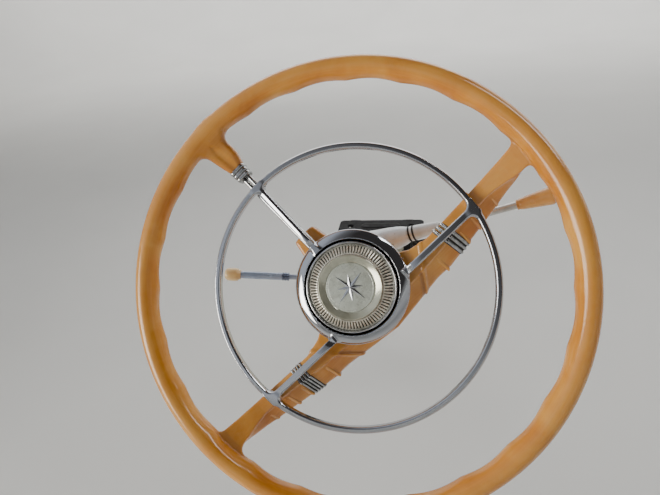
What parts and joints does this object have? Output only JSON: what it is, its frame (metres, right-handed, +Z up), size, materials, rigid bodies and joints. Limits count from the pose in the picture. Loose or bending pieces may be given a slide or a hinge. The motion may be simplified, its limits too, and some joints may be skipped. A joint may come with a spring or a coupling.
{
  "type": "steering wheel and column",
  "caption": "Three-spoke steering wheel with horn ring on its column, with signal and gear levers, steering box and drop arm.",
  "frame": {"origin": "centre of the steering box's mounting face, on the frame rail", "axes": "+X to the driver's right, +Y forward, +Z up; the steering axis rises rearwards 32 degrees above the horizontal, in the plane x = 0.048"},
  "size_m": [0.425, 0.9327, 0.8618],
  "materials": {
    "amber_plastic": "aged amber-ivory moulded plastic, satin gloss",
    "chrome": "polished plate with light pitting",
    "fluted_silver": "radially fluted, cream-silver",
    "clear_bevel": "clear-coated champagne bevel",
    "pale_disc": "pale grey-cream enamel",
    "cream_paint": "cream-white enamel",
    "satin_steel": "satin grey rod",
    "black_rubber": "matt rubber",
    "black_paint": "black chassis enamel",
    "cast_housing": "painted casting",
    "bare_steel": "machined steel, dulled"
  },
  "bodies": {
    "column": {"column_jacket": "cream_paint", "column_head": "cream_paint", "signal_lever": "chrome", "signal_collar": "chrome", "signal_knob": "amber_plastic", "gear_lever_boss": "cream_paint", "gear_lever_grommet": "black_rubber", "gear_lever_tube": "cream_paint", "gear_lever_rod": "satin_steel", "gear_knob": "amber_plastic", "shift_rod": "cream_paint", "shift_bearing": "black_paint", "shift_arm": "black_paint", "dash_bracket": "black_paint", "dash_clamp": "black_paint", "floor_plate": "black_paint", "floor_seal": "black_rubber", "jacket_clamp": "black_paint", "gear_box": "cast_housing", "mounting_flange": "cast_housing", "sector_boss": "cast_housing", "box_end_cover": "black_paint", "box_side_cover": "black_paint"},
    "wheel": {"wheel_rim": "amber_plastic", "left_spoke": "amber_plastic", "right_spoke": "amber_plastic", "left_spoke_band": "chrome", "right_spoke_band": "chrome", "lower_spoke_rods": "chrome", "lower_spoke_collar": "chrome", "lower_spoke_foot": "amber_plastic", "hub_shell": "amber_plastic", "horn_ring": "chrome", "horn_arms": "chrome", "horn_bezel": "chrome", "fluted_ring": "fluted_silver", "bevel_ring": "clear_bevel", "horn_disc": "pale_disc", "hub_motif": "chrome", "steering_shaft": "bare_steel"},
    "drop_arm": {"sector_shaft": "bare_steel", "pitman_arm": "black_paint", "pitman_nut": "bare_steel"}
  },
  "joints": [
    {"name": "steering", "type": "hinge", "parent": "column", "child": "wheel", "pos_m": [0.048, -0.72455, 0.48223], "axis": [0, 0.848, -0.5299], "range_deg": [-776, 504]},
    {"name": "drop_arm_swing", "type": "hinge", "parent": "column", "child": "drop_arm", "pos_m": [0.048, -0.01961, -0.03138], "axis": [1, 0, 0], "range_deg": [-42.7, 27.8]}
  ],
  "couplings": [
    {"joint": "drop_arm_swing", "follows": "steering", "ratio": 0.054945}
  ]
}
